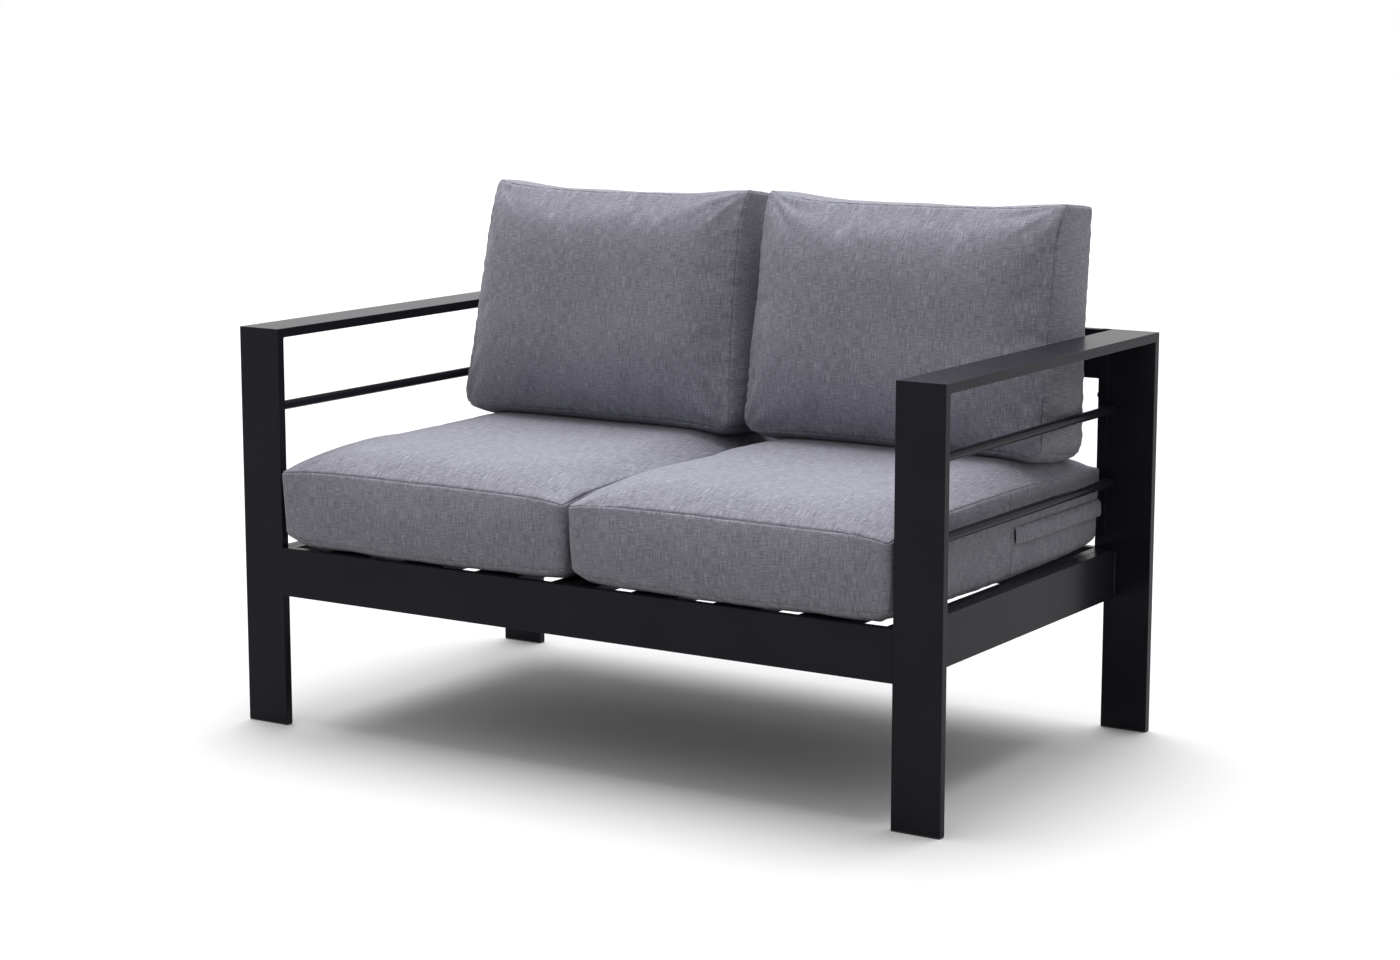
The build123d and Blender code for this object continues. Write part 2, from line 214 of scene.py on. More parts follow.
def thread_wave(tree, cloth, axis, pitch, wander):
    """Fine ribs of one thread direction, a little uneven."""
    return node(
        tree, "TexWave",
        {
            "Scale": math.pi / (10 * pitch), "Distortion": wander,
            "Detail": 2.0, "Detail Scale": 2.0,
        },
        {"Vector": cloth}, bands_direction=axis,
    ).outputs["Fac"]


def zip_nylon():
    """Dark grey nylon of the zips: coil and tape, dull, with the tape's crosswise ribs."""
    made, tree = material("dark_grey_zip_nylon")
    cloth = node(tree, "UVMap", uv_map="cloth").outputs["UV"]
    ribs = thread_wave(tree, cloth, "X", ZIP_RIB_PITCH, ZIP_RIB_WANDER)
    shader = node(
        tree, "BsdfPrincipled", {"Roughness": 0.7},
        {
            "Base Color": ramp(tree, ribs, [(0.2, "#4b4b50"), (0.8, "#5c5c61")]),
            "Normal": bump(tree, ribs, 0.4, 0.2 * MM),
        },
    )
    surface(tree, shader)
    return made


def streaks(tree, cloth, across, along, **values):
    """Noise on the cloth, drawn out into streaks: its grain's size across and along."""
    drawn = node(
        tree, "Mapping", {"Scale": (1 / across, 1 / along, 1.0)}, {"Vector": cloth},
    ).outputs["Vector"]
    return node(tree, "TexNoise", {"Scale": 1.0, **values}, {"Vector": drawn}).outputs["Fac"]


def mixed(tree, share, first, second):
    """Two values mixed: a share of the second in the first."""
    return node(
        tree, "Mix", {"Factor": share}, {"A": first, "B": second}, data_type="FLOAT",
    ).outputs["Result"]


def sums(tree, operation, first, second):
    """Result of a sum of two values."""
    return node(tree, "Math", links={0: first, 1: second}, operation=operation).outputs["Value"]


def woven_cloth(name, dark, middle, light):
    """Mid grey heathered polyester, plain woven: warp threads show as fine upright
    streaks of lighter and darker grey, crossed by a fainter weft, with a soft fuzz."""
    made, tree = material(name)
    cloth = node(tree, "UVMap", uv_map="cloth").outputs["UV"]
    fine = {"Detail": 3.0, "Roughness": 0.6}
    warp_streaks = streaks(tree, cloth, SLUB_WIDTH, WARP_SLUB, **fine)
    weft_streaks = streaks(tree, cloth, WEFT_SLUB, SLUB_WIDTH, **fine)
    drift = streaks(tree, cloth, DRIFT_WIDTH, DRIFT_LENGTH, Detail=2.0)
    threads = mixed(tree, 0.46, warp_streaks, weft_streaks)
    heather = mixed(tree, 0.06, threads, drift)
    warp = thread_wave(tree, cloth, "X", THREAD_PITCH, THREAD_WANDER)
    weft = thread_wave(tree, cloth, "Y", THREAD_PITCH, THREAD_WANDER)
    weave = sums(tree, "MULTIPLY", warp, weft)
    height = sums(tree, "ADD", weave, warp_streaks)
    shader = node(
        tree, "BsdfPrincipled",
        {
            "Roughness": 0.92, "Specular IOR Level": 0.2,
            "Sheen Weight": 0.12, "Sheen Roughness": 0.5,
        },
        {
            "Base Color": ramp(tree, heather, [(0.32, dark), (0.5, middle), (0.68, light)]),
            "Normal": bump(tree, height, 0.5, 0.3 * MM),
        },
    )
    surface(tree, shader)
    return made


COAT = powder_coat()
NYLON = black_nylon()
STEEL = black_steel()
ZIP = zip_nylon()
CLOTH = woven_cloth("grey_woven_polyester", "#5f5f6a", "#8c8c97", "#babac6")

# Finish of every piece of the frame that is shown as it is
FINISHES = {"frame_aluminium": COAT, "foot_plastic": NYLON, "fastener_steel": STEEL}
SLOTS = {row["node"]: row["material_slot"] for row in frame["record"]["subparts"]}
for name, cad_piece in nodes.items():
    finish = FINISHES.get(SLOTS[name])
    if finish:
        cad_piece.data.materials.clear()
        cad_piece.data.materials.append(finish)


# Meshes and limits

def mesh_piece(bm, name):
    """New object with the bmesh's mesh."""
    mesh = bpy.data.meshes.new(name)
    bm.to_mesh(mesh)
    bm.free()
    piece = bpy.data.objects.new(name, mesh)
    bpy.context.scene.collection.objects.link(piece)
    return piece


def subdivided(piece):
    """Put one level of subdivision of a piece into its own mesh."""
    smooth = piece.modifiers.new("subdivision", "SUBSURF")
    smooth.levels = 1
    smooth.render_levels = 1
    shaped = piece.evaluated_get(bpy.context.evaluated_depsgraph_get())
    mesh = bpy.data.meshes.new_from_object(shaped)
    piece.modifiers.clear()
    piece.data = mesh


def surface_tree(piece):
    """Search tree of a piece's surface."""
    mesh = piece.data
    return BVHTree.FromPolygons([v.co for v in mesh.vertices], [p.vertices for p in mesh.polygons])


def smooth_step(value, low, high):
    """0 below low, 1 above high, and smooth between."""
    t = min(1.0, max(0.0, (value - low) / (high - low)))
    return t * t * (3 - 2 * t)


# Softnesses away from a limit at which it is no longer felt
LIMIT_REACH = 30


def soft_limit(value, limit, softness):
    """Value held below a limit, bending smoothly into it."""
    over = (value - limit) / softness
    if over < -LIMIT_REACH:
        return value
    if over > LIMIT_REACH:
        return limit
    return limit - softness * math.log1p(math.exp(-over))


def hold(point, limits):
    """Bend a point into limits, each an axis, a sign, a level and a softness."""
    for axis, sign, level, softness in limits:
        point[axis] = sign * soft_limit(sign * point[axis], sign * level, softness)


def clamp(point, limits, margin):
    """Stop a point hard at limits, a margin short of them."""
    for axis, sign, level, _ in limits:
        point[axis] = sign * min(sign * point[axis], sign * level - margin)


# Cushions. A form is made in its own flat axes: X along the width, Y along the panel's
# other side, Z through the thickness, with the panel that is sat or leant on at +Z. Its
# near side, at -Y, is the seat's front or the back cushion's foot. A form holds:
# size: width, length and thickness between its seams, and join: the place along it where
#   the seat's plain boxing meets the length that holds the zip
# corner: radius in plan of its near and its far corners
# bulge, near_bulge: swell of its sides and of its near side at half thickness, and
#   fuller: the share by which that grows towards the near side
# side_draw, near_draw, far_draw, draw_power: how far each side pulls in between its
#   corners, and tuck: how far the lower corners are drawn in
# crown, belly, power: rise of the upper and of the lower panel, the distance that it
#   takes, and how steeply it starts
# taper: share by which it is thinner at its far side
# pinch, low_pinch: how far its near and far corners are pressed together, above and
#   below, and side_lift: how far its side seams bow apart
# pucker, folds, fold_height, fold_reach: the small creases along seams and from corners
# pressure, cap, shrink: the simulation's pressure, the furthest that a point may move,
#   and the share by which the thread shortens the seams
# fill, core: how full it is and of what, and seed: its place in the noise

SEAT = {
    "size": (566 * MM, 724 * MM, 119 * MM), "join": 39.5 * MM,
    "corner": (12 * MM, 12 * MM),
    "bulge": 4 * MM, "near_bulge": 11 * MM, "fuller": 0.0,
    "side_draw": 7 * MM, "near_draw": 4 * MM, "far_draw": 6 * MM, "draw_power": 2,
    "tuck": 4 * MM,
    "crown": (37 * MM, 190 * MM), "belly": (13 * MM, 46 * MM), "power": 3.6,
    "taper": 0.0,
    "pinch": (10 * MM, 2 * MM), "low_pinch": (10 * MM, 6 * MM), "side_lift": 8 * MM,
    "pucker": 1.3 * MM, "folds": 7, "fold_height": 2.6 * MM, "fold_reach": 130 * MM,
    "pressure": 3.0, "cap": 5 * MM, "shrink": 0.015,
    "fill": 0.85, "core": "foam", "seed": 3.1,
}
BACK = {
    "size": (566 * MM, 409 * MM, 135 * MM), "join": None,
    "corner": (34 * MM, 4 * MM),
    "bulge": 14 * MM, "near_bulge": 14 * MM, "fuller": 0.6,
    "side_draw": 7 * MM, "near_draw": 6 * MM, "far_draw": 10 * MM, "draw_power": 4,
    "tuck": 0.0,
    "crown": (50 * MM, 190 * MM), "belly": (56 * MM, 170 * MM), "power": 3.0,
    "taper": 0.137,
    "pinch": (8 * MM, 20 * MM), "low_pinch": (8 * MM, 10 * MM), "side_lift": 0.0,
    "pucker": 1.6 * MM, "folds": 9, "fold_height": 5.5 * MM, "fold_reach": 160 * MM,
    "pressure": 3.0, "cap": 7 * MM, "shrink": 0.02,
    "fill": 0.75, "core": "filling", "seed": 8.6,
}

# How closely a change keeps to the sides, the panels and the corners of the flat box
SIDE_POWER = 6
PANEL_POWER = 8
CORNER_POWER = 6
TUCK_POWER = 4

# Squares that the flat box is cut into, and the number of its panels round the sides
SPACING = 8 * MM
BOXING_PANELS = 4

# Seams, and the small shapes by them and over the filling
SEAM_WIDTH = 2.8 * MM
SEAM_DEPTH = 2.8 * MM
SEAM_CREASE = 0.7
PUCKER_PITCH = 12 * MM
PUCKER_REACH = 26 * MM
SOFT_PITCH = 110 * MM
SOFT_HEIGHT = 3.0 * MM
FOLD_INNER = 10 * MM
FOLD_MIDDLE = 42 * MM
ON_PANEL = 0.01 * MM

# Steps in the noise from cushion to cushion, off a seam, and from corner to corner, and
# how fast it changes with the level of a seam and of a panel
CUSHION_STEP = 7.7
SEAM_STEP = 0.4
CORNER_STEP = 5.3
SEAM_RATE = 3
PANEL_RATE = 9

# A light, soft cloth that pressure blows up
SIM_FRAMES = 20
CLOTH_SETTINGS = {
    "quality": 5, "mass": 0.3, "tension_stiffness": 20, "compression_stiffness": 20,
    "shear_stiffness": 8, "bending_stiffness": 0.5, "use_pressure": True,
    "vertex_group_shrink": "seam", "shrink_min": 0.0,
}

# What the cushions lie against
slat_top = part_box("seat_slat_1")[1].z
slat_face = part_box("back_slat_1")[0].y
leg_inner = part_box("front_leg_right")[0].x

# Gaps to the frame and between cushions, the seats' top, and how softly cloth meets each
LIFT_GAP = 0.4 * MM
REST_GAP = 0.7 * MM
SEAT_TOP = 468.4 * MM
WALL_SOFTNESS = 1.5 * MM
REST_SOFTNESS = 1.5 * MM
SLAT_SOFTNESS = 1.0 * MM
TOP_SOFTNESS = 3.0 * MM
LEAN_SOFTNESS = 2.0 * MM
DROP_HEIGHT = 200 * MM

# How far a seat stays off its bay's sides before its join and behind it, and its bands
SNUG_ROOM = 0.8 * MM
CUSHION_ROOM = 7.6 * MM
ZIP_ROOM = 4.6 * MM
FLAP_ROOM = 0.6 * MM

# Where the cushions lie from their CAD covers
SEAT_SHIFT = 3.5 * MM
SEAT_MIDDLE = 73 * MM
BACK_FOOT = 158 * MM
BACK_SINK = 11 * MM

# How each back cushion leans, how far its foot has slid forward, and how narrow its top is
BACK_SLOUCH = {
    "left": (math.radians(8.2), 12 * MM, 0.06),
    "right": (math.radians(7.15), 0.0, 0.012),
}


def panelled_box(size):
    """Box about the origin cut into squares, with its cloth coordinates laid flat on
    each panel and its panel number in a face layer."""
    bm = bmesh.new()
    bmesh.ops.create_cube(bm, size=1.0)
    bmesh.ops.scale(bm, vec=size, verts=bm.verts)
    for axis, whole in enumerate(size):
        count = max(2, round(whole / SPACING))
        normal = Vector((axis == X, axis == Y, axis == Z))
        for index in range(1, count):
            place = normal * (index / count - 0.5) * whole
            every = [*bm.verts, *bm.edges, *bm.faces]
            bmesh.ops.bisect_plane(bm, geom=every, plane_co=place, plane_no=normal)
    cloth = bm.loops.layers.uv.new("cloth")
    panel = bm.faces.layers.int.new("panel")
    bm.normal_update()
    for face in bm.faces:
        n = face.normal
        axis = max(range(3), key=lambda i: abs(n[i]))
        face[panel] = 2 * axis + (n[axis] > 0)
        for loop in face.loops:
            x, y, z = loop.vert.co
            if axis == Z:
                loop[cloth].uv = (x, y)
            elif axis == Y:
                loop[cloth].uv = (x, z + 2 * size[Y])
            else:
                loop[cloth].uv = (y + 2 * size[X], z + 2 * size[Y])
    return bm


def part_boxing(bm, join):
    """Make two panels of the four sides: one before the join and one behind it."""
    panel = bm.faces.layers.int["panel"]
    for face in bm.faces:
        if face[panel] < BOXING_PANELS:
            face[panel] = 0 if face.calc_center_median().y < join else 1


def seam_edges(bm):
    """Edges between two different panels."""
    panel = bm.faces.layers.int["panel"]
    return [e for e in bm.edges if len({f[panel] for f in e.link_faces}) > 1]


def dome(distance, reach, power):
    """Rise of a stuffed panel, 0 at its seam and 1 from its reach on."""
    return 1 - (1 - min(1.0, max(0.0, distance) / reach)) ** power


def rounded(x, y, half_x, half_y, radius):
    """Point of a square-cornered plan moved into one with round corners."""
    over_x = abs(x) - (half_x - radius)
    over_y = abs(y) - (half_y - radius)
    if over_x <= 0 or over_y <= 0:
        return x, y
    pull = max(over_x, over_y) / math.hypot(over_x, over_y)
    new_x = half_x - radius + over_x * pull
    new_y = half_y - radius + over_y * pull
    return math.copysign(new_x, x), math.copysign(new_y, y)


def stuffed(co, form, narrow):
    """Point of the flat box moved out to the stuffed form, still in the flat axes. Its
    far end is narrow by a share."""
    half = [s / 2 for s in form["size"]]
    a, b, c = (co[i] / half[i] for i in range(3))
    far = b > 0
    x, y = rounded(co.x, co.y, half[X], half[Y], form["corner"][far])
    fullness = (1 - c * c) * (1 - form["fuller"] * b)
    swell = form["bulge"] * fullness
    end_swell = form["bulge" if far else "near_bulge"] * fullness
    tuck = form["tuck"] * (1 - c) / 2
    draw = form["far_draw" if far else "near_draw"]
    open_a = 1 - abs(a) ** form["draw_power"]
    open_b = 1 - abs(b) ** form["draw_power"]
    x -= a * (form["side_draw"] * open_b + tuck * b ** TUCK_POWER)
    x += math.copysign(swell * open_b * a ** SIDE_POWER, a)
    y -= b * (draw * open_a + tuck * a ** TUCK_POWER)
    y += math.copysign(end_swell * open_a * b ** SIDE_POWER, b)
    x *= 1 - narrow * smooth_step(b, -1, 1)
    rise, reach = form["crown" if c > 0 else "belly"]
    lift = rise * dome(half[X] - abs(co.x), reach, form["power"])
    lift *= dome(half[Y] - abs(co.y), reach, form["power"])
    pinch = form["pinch" if c > 0 else "low_pinch"][far]
    bow = form["side_lift"] * abs(a) ** PANEL_POWER * (1 - b * b)
    z = co.z * (1 - form["taper"] * b) + abs(c) ** PANEL_POWER * math.copysign(lift, c)
    z += c * (bow - pinch * abs(a * b) ** CORNER_POWER)
    return Vector((x, y, z))


def stuffed_piece(name, form, narrow):
    """Cushion with the stuffed form, which keeps the place of each point on the flat box
    in the layer flat and its seams' points in the group seam."""
    bm = panelled_box(form["size"])
    if form["join"] is not None:
        part_boxing(bm, form["join"])
    flat = bm.verts.layers.float_vector.new("flat")
    on_seam = {v for e in seam_edges(bm) for v in e.verts}
    bm.verts.index_update()
    seam_numbers = [v.index for v in bm.verts if v in on_seam]
    for vertex in bm.verts:
        vertex[flat] = vertex.co
        vertex.co = stuffed(vertex.co, form, narrow)
    piece = mesh_piece(bm, name)
    piece.vertex_groups.new(name="seam").add(seam_numbers, 1.0, "REPLACE")
    return piece


def simulate(piece, form):
    """Blow a cushion up as cloth, with its seams drawn shorter by the thread, and let
    no point move further than the cap."""
    mesh = piece.data
    rest = [v.co.copy() for v in mesh.vertices]
    cloth = piece.modifiers.new("cloth", "CLOTH")
    for name, value in CLOTH_SETTINGS.items():
        setattr(cloth.settings, name, value)
    cloth.settings.uniform_pressure_force = form["pressure"]
    cloth.settings.shrink_max = form["shrink"]
    cloth.settings.effector_weights.gravity = 0
    cloth.collision_settings.use_collision = False
    cloth.point_cache.frame_start = 1
    cloth.point_cache.frame_end = SIM_FRAMES
    scene = bpy.context.scene
    for step in range(1, SIM_FRAMES + 1):
        scene.frame_set(step)
    blown = piece.evaluated_get(bpy.context.evaluated_depsgraph_get()).data
    for vertex, old, new in zip(mesh.vertices, rest, [v.co.copy() for v in blown.vertices]):
        move = new - old
        if move.length > form["cap"]:
            move *= form["cap"] / move.length
        vertex.co = old + move
    piece.modifiers.remove(cloth)
    scene.frame_set(1)


def sewn(mesh):
    """Press a groove along every seam of the mesh, its bottom kept sharp."""
    bm = bmesh.new()
    bm.from_mesh(mesh)
    cut = bmesh.ops.bevel(
        bm, geom=seam_edges(bm), offset=SEAM_WIDTH / 2, offset_type="OFFSET", segments=2,
        profile=0.5, affect="EDGES",
    )
    groove = set(cut["faces"])
    bm.normal_update()
    bottom = {v for v in cut["verts"] if all(face in groove for face in v.link_faces)}
    for vertex, move in [(v, v.normal * -SEAM_DEPTH) for v in bottom]:
        vertex.co += move
    crease = bm.edges.layers.float.new("crease_edge")
    for edge in bm.edges:
        if edge.verts[0] in bottom and edge.verts[1] in bottom:
            edge[crease] = SEAM_CREASE
    bm.to_mesh(mesh)
    bm.free()


def seam_marks(flat, half, join):
    """Distance of a point of the flat box from its nearest seam, and how far along
    that seam it lies."""
    gaps = [half[i] - abs(flat[i]) for i in range(3)]
    face = min(range(3), key=lambda i: gaps[i])
    if face != Z and join is not None:
        return min((gaps[Z], flat[Y if face == X else X]), (abs(flat[Y] - join), flat[Z]))
    first, second = (i for i in range(3) if i != face)
    return min((gaps[first], flat[second]), (gaps[second], flat[first]))


def corner_fold(flat, half, form, seed):
    """Height of the folds that run out over a panel from its nearest corner."""
    out_x = half[X] - abs(flat[X])
    out_y = half[Y] - abs(flat[Y])
    away = math.hypot(out_x, out_y)
    if away >= form["fold_reach"]:
        return 0.0
    turn = math.atan2(out_y, out_x)
    corner = 2 * (flat[X] > 0) + (flat[Y] > 0)
    wave = noise.noise(
        (turn * form["folds"] / 2, seed + corner * CORNER_STEP, flat[Z] * PANEL_RATE),
    )
    grow = smooth_step(away, FOLD_INNER, FOLD_MIDDLE)
    fade = 1 - smooth_step(away, FOLD_MIDDLE, form["fold_reach"])
    return form["fold_height"] * wave * grow * fade


def relief(flat, form, seed):
    """Height of the creases at a point of the flat box: puckers at the seams, and folds
    that run out from the corners."""
    half = [s / 2 for s in form["size"]]
    distance, along = seam_marks(flat, half, form["join"])
    off_seam = seed + (distance > 0) * SEAM_STEP
    pucker = noise.noise((along / PUCKER_PITCH, off_seam, flat[Z] * SEAM_RATE))
    height = form["pucker"] * pucker * (1 - smooth_step(distance, 0, PUCKER_REACH))
    if half[Z] - abs(flat[Z]) < ON_PANEL:
        height += corner_fold(flat, half, form, seed)
    return height


def walls(middle_x, room):
    """Limits at both sides of a cushion, a room away from its bay's ends."""
    half = leg_inner / 2 - room
    return [(X, 1, middle_x + half, WALL_SOFTNESS), (X, -1, middle_x - half, WALL_SOFTNESS)]


def wall_room(y):
    """How far a seat cushion stays off its bay's sides: less in front of its zip."""
    return SNUG_ROOM + (CUSHION_ROOM - SNUG_ROOM) * smooth_step(y, 0, SEAT["join"])


def hold_up(point, carriers):
    """Keep a point just above the cushions that carry it."""
    for tree in carriers:
        hit = tree.ray_cast(point + Vector((0, 0, DROP_HEIGHT)), Vector((0, 0, -1)))[0]
        if hit is not None:
            hold(point, [(Z, -1, hit.z + REST_GAP, REST_SOFTNESS)])


def make_cushion(name, form, place, seed, limits, carriers, narrow):
    """One stuffed cushion: panelled, blown up, sewn, subdivided, creased and laid in its
    place within its limits. One without carriers stays off its bay's sides."""
    piece = stuffed_piece(name, form, narrow)
    simulate(piece, form)
    piece.vertex_groups.clear()
    sewn(piece.data)
    subdivided(piece)
    mesh = piece.data
    own_noise = Vector((seed, seed, seed)) * CUSHION_STEP
    flats = [Vector(row.vector) for row in mesh.attributes["flat"].data]
    normals = [Vector(n.vector) for n in mesh.vertex_normals]
    for vertex, flat, normal in zip(mesh.vertices, flats, normals):
        soft = noise.noise(vertex.co / SOFT_PITCH + own_noise) * SOFT_HEIGHT
        point = place @ (vertex.co + normal * (relief(flat, form, seed) + soft))
        if not carriers:
            hold(point, walls(place.translation.x, wall_room(point.y)))
        hold(point, limits)
        hold_up(point, carriers)
        vertex.co = point
    mesh.attributes.remove(mesh.attributes["flat"])
    mesh.polygons.foreach_set("use_smooth", [True] * len(mesh.polygons))
    mesh.materials.append(CLOTH)
    mesh.update()
    return piece


# Zips and flaps: bands that follow a cushion's boxing in stations. Each row of a band is
# its level from the boxing's middle and how far it stands off it, at its ends and between

ZIP_ROWS = [
    (8 * MM, 0.4 * MM, 0.4 * MM),
    (2.6 * MM, 0.5 * MM, 0.5 * MM),
    (2 * MM, 0.8 * MM, 1.4 * MM),
    (0, 0.9 * MM, 1.8 * MM),
    (-2 * MM, 0.8 * MM, 1.4 * MM),
    (-2.6 * MM, 0.5 * MM, 0.5 * MM),
    (-10 * MM, 0.4 * MM, 0.4 * MM),
]
FLAP_ROWS = [
    (10 * MM, 0.6 * MM, 0.6 * MM),
    (7 * MM, 2.4 * MM, 3.6 * MM),
    (2 * MM, 3.4 * MM, 6.2 * MM),
    (-5 * MM, 3.8 * MM, 7.0 * MM),
    (-12 * MM, 3.6 * MM, 7.4 * MM),
    (-17 * MM, 3.2 * MM, 7.2 * MM),
]
ZIP_THICKNESS = 0.5 * MM
FLAP_THICKNESS = 1.5 * MM

# Stations of a band, those over which it leaves its stitched end, and how far the seat's
# begins behind the join and the back cushion's runs
STATION_STEP = 5 * MM
END_STATIONS = (4, 7)
BEND_DEGREES = 9
SEAT_ZIP_START = 10 * MM
BACK_ZIP_LENGTH = 390 * MM

# How a band flutters, how snug it lies where it doesn't face along X, and the share of
# its thickness that its middle stays off a limit
FLUTTER = 0.35
FLUTTER_PITCH = 40 * MM
SNUG_SHARE = 0.35
SNUG_POWER = 4
MARGIN_SHARE = 0.6
PROBE_DISTANCE = 60 * MM


def rear_path(form):
    """Points and outward directions round the rear of a form's plan, from a start on one
    side to the same place on the other."""
    radius = form["corner"][1]
    half_x, half_y = form["size"][X] / 2, form["size"][Y] / 2
    flat_x, flat_y = half_x - radius, half_y - radius
    start = form["join"] + SEAT_ZIP_START
    count = int((flat_y - start) / STATION_STEP) + 1
    path = [((half_x, start + STATION_STEP * i), (1, 0)) for i in range(count)]
    for degrees in range(BEND_DEGREES, 90, BEND_DEGREES):
        turn = math.radians(degrees)
        out = (math.cos(turn), math.sin(turn))
        path.append(((flat_x + radius * out[0], flat_y + radius * out[1]), out))
    count = int(flat_x / STATION_STEP)
    path += [((flat_x - STATION_STEP * i, half_y), (0, 1)) for i in range(count)]
    mirrored = [((-p[0], p[1]), (-n[0], n[1])) for p, n in reversed(path)]
    return path + mirrored


def foot_path(form):
    """Points and outward directions along the middle of a form's near side."""
    count = round(BACK_ZIP_LENGTH / STATION_STEP)
    shares = [index / count - 0.5 for index in range(count + 1)]
    return [((BACK_ZIP_LENGTH * share, -form["size"][Y] / 2), (0, -1)) for share in shares]


def strip(name, cushion, place, path, rows, thickness, finish, limits):
    """Band of cloth that follows a path round a cushion, within limits."""
    tree = surface_tree(cushion)
    turn = place.to_3x3()
    bm = bmesh.new()
    cloth = bm.loops.layers.uv.new("cloth")
    columns = []
    marks = {}
    for index, (point, out) in enumerate(path):
        outward = (turn @ Vector((*out, 0))).normalized()
        share = smooth_step(index, *END_STATIONS)
        share *= smooth_step(len(path) - 1 - index, *END_STATIONS)
        near = SNUG_SHARE + (1 - SNUG_SHARE) * abs(out[0]) ** SNUG_POWER
        column = []
        for level, first, later in rows:
            start = place @ Vector((
                point[0] + PROBE_DISTANCE * out[0], point[1] + PROBE_DISTANCE * out[1], level,
            ))
            hit = tree.ray_cast(start, -outward)[0]
            wave = 1 + FLUTTER * noise.noise(start / FLUTTER_PITCH) * share
            spot = hit + outward * (first + (later * near - first) * share) * wave
            clamp(spot, limits, thickness * MARGIN_SHARE)
            vertex = bm.verts.new(spot)
            marks[vertex] = (index * STATION_STEP, level)
            column.append(vertex)
        columns.append(column)
    for left, right in zip(columns, columns[1:]):
        for i in range(len(rows) - 1):
            face = bm.faces.new((left[i], right[i], right[i + 1], left[i + 1]))
            face.smooth = True
            for loop in face.loops:
                loop[cloth].uv = marks[loop.vert]
    bmesh.ops.recalc_face_normals(bm, faces=bm.faces)
    piece = mesh_piece(bm, name)
    shell = piece.modifiers.new("thickness", "SOLIDIFY")
    shell.thickness = thickness
    shell.offset = 0
    subdivided(piece)
    for vertex in piece.data.vertices:
        clamp(vertex.co, limits, 0.0)
    piece.data.materials.append(finish)
    return piece


def dress(kind, side, form, place, seed, limits, carriers, path, narrow):
    """Cushion of one kind and side with its zip and flap, riding on its own body."""
    middle_x = place.translation.x
    cushion = make_cushion(
        f"{kind}_cushion_cloth_{side}", form, place, seed, limits, carriers, narrow,
    )
    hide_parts(f"{kind}_cover_{side}", f"{kind}_{form['core']}_{side}")
    zipped = strip(
        f"{kind}_zip_tape_{side}", cushion, place, path, ZIP_ROWS, ZIP_THICKNESS, ZIP,
        walls(middle_x, ZIP_ROOM) + limits,
    )
    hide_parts(f"{kind}_zip_{side}")
    flap = strip(
        f"{kind}_zip_cover_flap_{side}", cushion, place, path, FLAP_ROWS, FLAP_THICKNESS, CLOTH,
        walls(middle_x, FLAP_ROOM) + limits,
    )
    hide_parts(f"{kind}_zip_flap_{side}")
    for piece in (cushion, zipped, flap):
        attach(piece, f"{kind}_cushion_{side}")
    return cushion


def seat_cushion(side, sign):
    """Seat cushion that lies in its bay on the slats, with its zip round its rear."""
    low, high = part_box(f"seat_cover_{side}")
    place = Matrix.Translation((
        sign * leg_inner / 2, (low.y + high.y) / 2 + SEAT_SHIFT, low.z + SEAT_MIDDLE,
    ))
    limits = [
        (Z, -1, slat_top + LIFT_GAP, SLAT_SOFTNESS),
        (Z, 1, SEAT_TOP, TOP_SOFTNESS),
    ]
    return dress("seat", side, SEAT, place, SEAT["seed"] + sign, limits, [], rear_path(SEAT), 0.0)


def back_cushion(side, sign, carriers):
    """Back cushion that stands on the seats and leans on the back slats, with its zip in
    its foot."""
    low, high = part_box(f"back_cover_{side}")
    lean, forward, narrow = BACK_SLOUCH[side]
    along = Vector((0, math.sin(lean), math.cos(lean)))
    foot = Vector((sign * leg_inner / 2, high.y - BACK_FOOT - forward, low.z - BACK_SINK))
    turn = Matrix(((1, 0, 0), (0, along.y, -along.z), (0, along.z, along.y)))
    place = Matrix.Translation(foot + along * BACK["size"][Y] / 2) @ turn.to_4x4()
    limits = [(Y, 1, slat_face - LIFT_GAP, LEAN_SOFTNESS)]
    seed = BACK["seed"] + sign
    dress("back", side, BACK, place, seed, limits, carriers, foot_path(BACK), narrow)


seats = [seat_cushion(side, sign) for side, sign in SIDES]
seat_trees = [surface_tree(seat) for seat in seats]
for side, sign in SIDES:
    back_cushion(side, sign, seat_trees)


# Weld beads up both outer corners where each side rail meets its legs

BEAD_RADIUS = 3.2 * MM
BEAD_SIDES = 12
BEAD_STEP = 5 * MM
BEAD_UNEVEN = 0.18
BEAD_RATE = 9


def add_bead(bm, corner_x, corner_y, low_z, high_z, sign):
    """Add one upright bead of slightly uneven thickness to a bmesh."""
    rise = high_z - low_z - 2 * BEAD_RADIUS
    count = round(rise / BEAD_STEP)
    older = set(bm.verts)
    bmesh.ops.create_cone(
        bm, cap_ends=True, segments=BEAD_SIDES, radius1=BEAD_RADIUS, radius2=BEAD_RADIUS,
        depth=rise,
    )
    for index in range(1, count):
        bead = [v for v in bm.verts if v not in older]
        edges = {e for v in bead for e in v.link_edges}
        faces = {f for v in bead for f in v.link_faces}
        bmesh.ops.bisect_plane(
            bm, geom=[*bead, *edges, *faces], plane_co=(0, 0, (index / count - 0.5) * rise),
            plane_no=(0, 0, 1),
        )
    bead = [v for v in bm.verts if v not in older]
    for vertex in bead:
        level = vertex.co.z / BEAD_STEP
        swell = 1 + BEAD_UNEVEN * noise.noise((level, corner_y * BEAD_RATE, sign))
        vertex.co.x *= swell
        vertex.co.y *= swell
    bmesh.ops.translate(bm, vec=(corner_x, corner_y, (low_z + high_z) / 2), verts=bead)


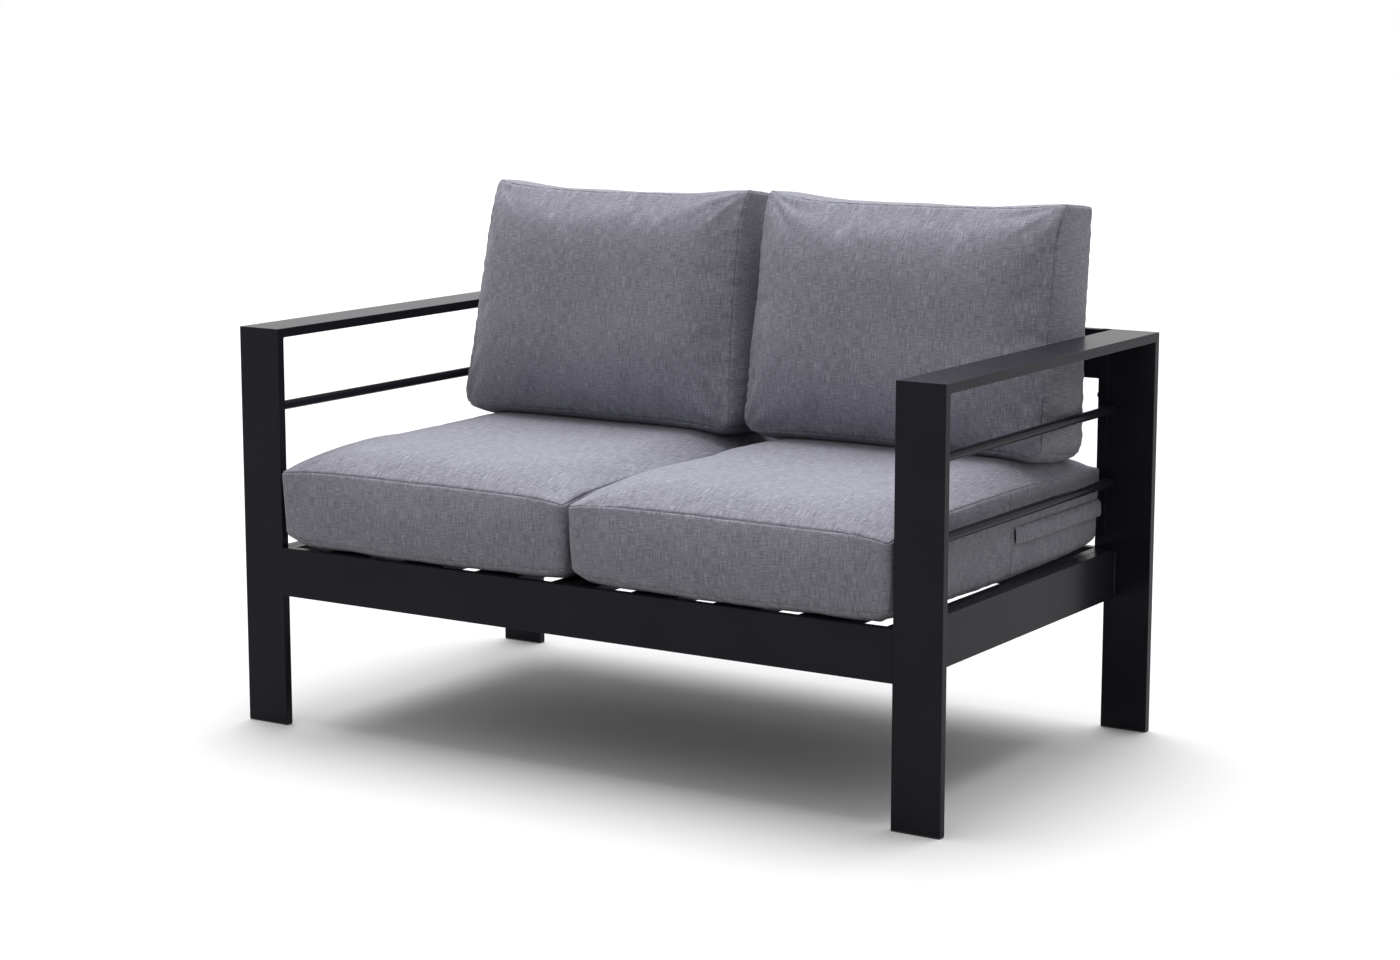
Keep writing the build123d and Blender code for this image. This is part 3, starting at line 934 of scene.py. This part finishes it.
for side, sign in SIDES:
    low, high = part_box(f"side_rail_{side}")
    bm = bmesh.new()
    for y in (low.y, high.y):
        add_bead(bm, high.x if sign > 0 else low.x, y, low.z, high.z, sign)
    for face in bm.faces:
        face.smooth = True
    beads = mesh_piece(bm, f"side_rail_weld_beads_{side}")
    beads.data.materials.append(COAT)
    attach(beads, "frame")


# Camera, floor and light

# Sockets of a colour Mix node, which shares its names with other kinds
MIX_SHARE, MIX_FIRST, MIX_SECOND, MIX_RESULT = 0, 6, 7, 2


def photo_camera():
    """Camera at the photograph's place, turned as it was."""
    data = bpy.data.cameras.new("photo_camera")
    data.sensor_width = SENSOR_MM
    data.lens = FOCAL_PX * SENSOR_MM / PHOTO_WIDTH_PX
    camera = bpy.data.objects.new("photo_camera", data)
    bpy.context.scene.collection.objects.link(camera)
    sin_turn, cos_turn = math.sin(CAMERA_TURN), math.cos(CAMERA_TURN)
    dip_cos = math.cos(CAMERA_DIP)
    ahead = Vector((-sin_turn * dip_cos, cos_turn * dip_cos, -math.sin(CAMERA_DIP)))
    right = Vector((cos_turn, sin_turn, 0))
    up = right.cross(ahead)
    rolled_right = math.cos(CAMERA_ROLL) * right + math.sin(CAMERA_ROLL) * up
    rolled_up = math.cos(CAMERA_ROLL) * up - math.sin(CAMERA_ROLL) * right
    axes = Matrix((rolled_right, rolled_up, -ahead)).transposed()
    camera.matrix_world = Matrix.Translation(CAMERA_PLACE) @ axes.to_4x4()
    bpy.context.scene.camera = camera


def overhead_sun():
    """Wide soft light from far above."""
    data = bpy.data.lights.new("overhead", "SUN")
    data.angle = SUN_SPREAD
    data.energy = SUN_STRENGTH
    data.color = SUN_COLOUR
    light = bpy.data.objects.new("overhead", data)
    bpy.context.scene.collection.objects.link(light)
    light.location = SUN_SIDE * SUN_DISTANCE
    light.rotation_euler = (-SUN_SIDE).to_track_quat("-Z", "Y").to_euler()


def looked_at(tree):
    """1 for rays from the camera and for those that gloss and glass send on, 0 for soft
    light."""
    rays = node(tree, "LightPath").outputs
    sent_on = sums(tree, "ADD", rays["Is Glossy Ray"], rays["Is Transmission Ray"])
    return node(
        tree, "Math", links={0: rays["Is Camera Ray"], 1: sent_on}, operation="ADD",
        use_clamp=True,
    ).outputs["Value"]


def studio_floor():
    """Pale floor that throws less light back than its seen colour would."""
    made, tree = material("pale_studio_floor")
    seen = node(
        tree, "Mix", {MIX_FIRST: linear(FLOOR_BOUNCE), MIX_SECOND: linear(FLOOR_SEEN)},
        {MIX_SHARE: looked_at(tree)}, data_type="RGBA",
    ).outputs[MIX_RESULT]
    surface(tree, node(tree, "BsdfDiffuse", links={"Color": seen}))
    bm = bmesh.new()
    bmesh.ops.create_grid(bm, x_segments=1, y_segments=1, size=FLOOR_REACH)
    floor = mesh_piece(bm, "studio_floor")
    floor.data.materials.append(made)


def studio_surround():
    """World that looks white, and lights the seat from its bright side."""
    world = bpy.data.worlds.new("studio")
    world.use_nodes = True
    tree = world.node_tree
    tree.nodes.clear()
    heading = node(tree, "TexCoord").outputs["Generated"]
    cosine = node(
        tree, "VectorMath", {1: tuple(BRIGHT_SIDE.normalized())}, {0: heading},
        operation="DOT_PRODUCT",
    ).outputs["Value"]
    strength = node(
        tree, "MapRange",
        {
            "From Min": AMBIENT_SPAN[0], "From Max": AMBIENT_SPAN[1],
            "To Min": AMBIENT[0], "To Max": AMBIENT[1],
        },
        {"Value": cosine},
    ).outputs["Result"]
    white = (1, 1, 1, 1)
    seen = node(tree, "Background", {"Color": white, "Strength": 1.0}).outputs[0]
    lit = node(tree, "Background", {"Color": white}, {"Strength": strength}).outputs[0]
    either = node(tree, "MixShader", links={0: looked_at(tree), 1: lit, 2: seen}).outputs[0]
    node(tree, "OutputWorld", links={"Surface": either})
    bpy.context.scene.world = world


photo_camera()
studio_floor()
studio_surround()
overhead_sun()
view = bpy.context.scene.view_settings
view.view_transform = "Standard"
view.look = "None"
view.exposure = 0.0
view.gamma = 1.0
